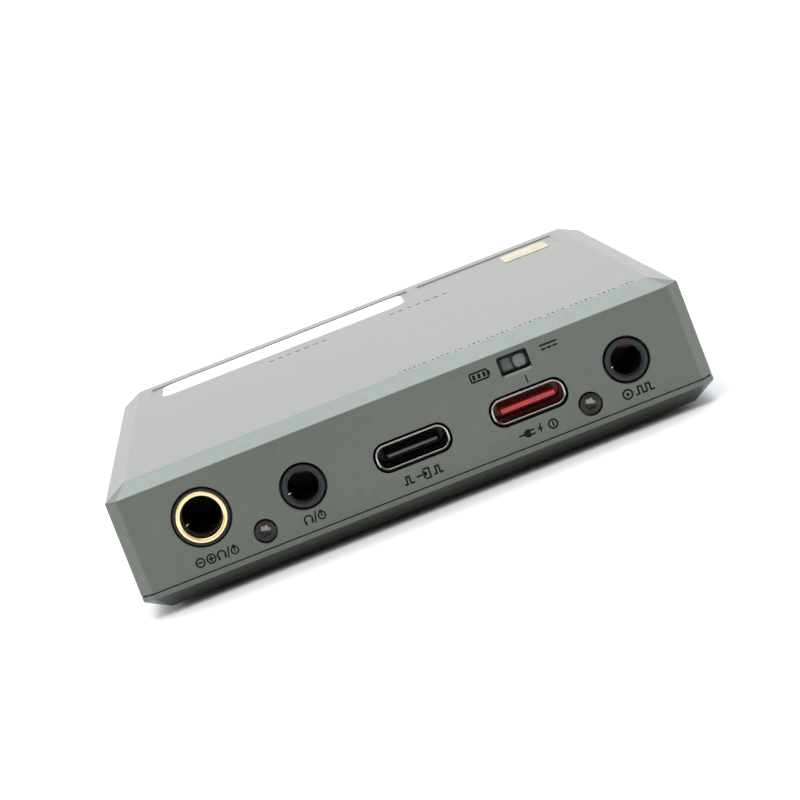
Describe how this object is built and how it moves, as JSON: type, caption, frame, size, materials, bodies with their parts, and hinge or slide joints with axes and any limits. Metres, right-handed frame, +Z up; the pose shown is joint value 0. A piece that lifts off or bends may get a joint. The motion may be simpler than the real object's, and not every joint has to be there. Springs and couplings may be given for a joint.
{
  "type": "desktop dac",
  "caption": "Flat metal-cased desktop DAC and headphone amplifier with a port face, battery, internal boards, a sliding supply switch and side keys.",
  "frame": {"origin": "on the table, under the middle of the case", "axes": "+X to the right along the port face, +Y from the port face to the far face, +Z up"},
  "size_m": [0.07, 0.102, 0.0159],
  "materials": {
    "case_aluminium": "bead-blasted, slate green-grey anodised",
    "key_aluminium": "bead-blasted, anodised to match the case",
    "dark_screw_steel": "black-zinc plated steel",
    "bright_screw_steel": "zinc plated steel",
    "foot_rubber": "matt black rubber",
    "label_paper": "satin white label stock",
    "badge_foil": "satin gold foil label",
    "circuit_board": "green solder mask on glass-epoxy",
    "cell_foil": "silver pouch foil",
    "amber_tape": "amber polyimide",
    "foam_tape": "white double-sided foam",
    "red_insulation": "red silicone wire insulation",
    "black_insulation": "black silicone wire insulation",
    "connector_plastic": "natural nylon",
    "black_plastic": "moulded black plastic",
    "dark_grey_plastic": "moulded dark grey plastic",
    "red_plastic": "moulded red plastic",
    "gold_plating": "polished gold plating",
    "port_steel": "bright nickel-plated stainless steel",
    "can_steel": "tinned steel",
    "knob_grey": "grey moulded knob",
    "chip_resin": "black epoxy package",
    "ferrite_grey": "moulded ferrite",
    "capacitor_sleeve": "bare aluminium can",
    "black_film": "black insulating film"
  },
  "bodies": {
    "case": {"top_case": "case_aluminium", "bottom_cover": "case_aluminium", "front_screws": "dark_screw_steel", "far_screws": "dark_screw_steel", "rubber_feet": "foot_rubber", "white_label": "label_paper", "gold_badge": "badge_foil", "main_board": "circuit_board", "board_screws": "bright_screw_steel", "battery_cell": "cell_foil", "battery_circuit": "amber_tape", "battery_tape": "foam_tape", "battery_lead_red": "red_insulation", "battery_lead_black": "black_insulation", "battery_plug": "connector_plastic", "battery_socket": "connector_plastic", "balanced_jack_housing": "black_plastic", "balanced_jack_ring": "gold_plating", "balanced_jack_contacts": "gold_plating", "headphone_jack_housing": "dark_grey_plastic", "headphone_jack_contacts": "gold_plating", "coax_jack_housing": "dark_grey_plastic", "coax_jack_contacts": "gold_plating", "data_port_shell": "port_steel", "data_port_tongue": "black_plastic", "data_port_contacts": "gold_plating", "power_port_shell": "port_steel", "power_port_tongue": "red_plastic", "power_port_contacts": "gold_plating", "switch_housing": "black_plastic", "switch_frame": "port_steel", "switch_board": "circuit_board", "switch_board_screws": "bright_screw_steel", "switch_flex": "amber_tape", "flex_connector": "connector_plastic", "dac_chip": "chip_resin", "usb_chip": "chip_resin", "amplifier_chips": "chip_resin", "charger_chip": "chip_resin", "shield_can": "can_steel", "clock_oscillators": "can_steel", "power_inductors": "ferrite_grey", "capacitors": "capacitor_sleeve", "insulator_film": "black_film", "key_switches": "dark_grey_plastic"},
    "mode_slider": {"switch_slider": "knob_grey"},
    "power_button": {"power_key": "key_aluminium", "power_key_plunger": "black_plastic"},
    "volume_down_button": {"volume_down_key": "key_aluminium", "volume_down_plunger": "black_plastic"},
    "volume_up_button": {"volume_up_key": "key_aluminium", "volume_up_plunger": "black_plastic"}
  },
  "joints": [
    {"name": "mode_slide", "type": "slide", "parent": "case", "child": "mode_slider", "axis": [-1, 0, 0], "range_m": [0, 0.0014]},
    {"name": "power_press", "type": "slide", "parent": "case", "child": "power_button", "axis": [-1, 0, 0], "range_m": [0, 0.00035], "stiffness_N_per_m": 600},
    {"name": "volume_down_press", "type": "slide", "parent": "case", "child": "volume_down_button", "axis": [-1, 0, 0], "range_m": [0, 0.00035], "stiffness_N_per_m": 600},
    {"name": "volume_up_press", "type": "slide", "parent": "case", "child": "volume_up_button", "axis": [-1, 0, 0], "range_m": [0, 0.00035], "stiffness_N_per_m": 600}
  ]
}
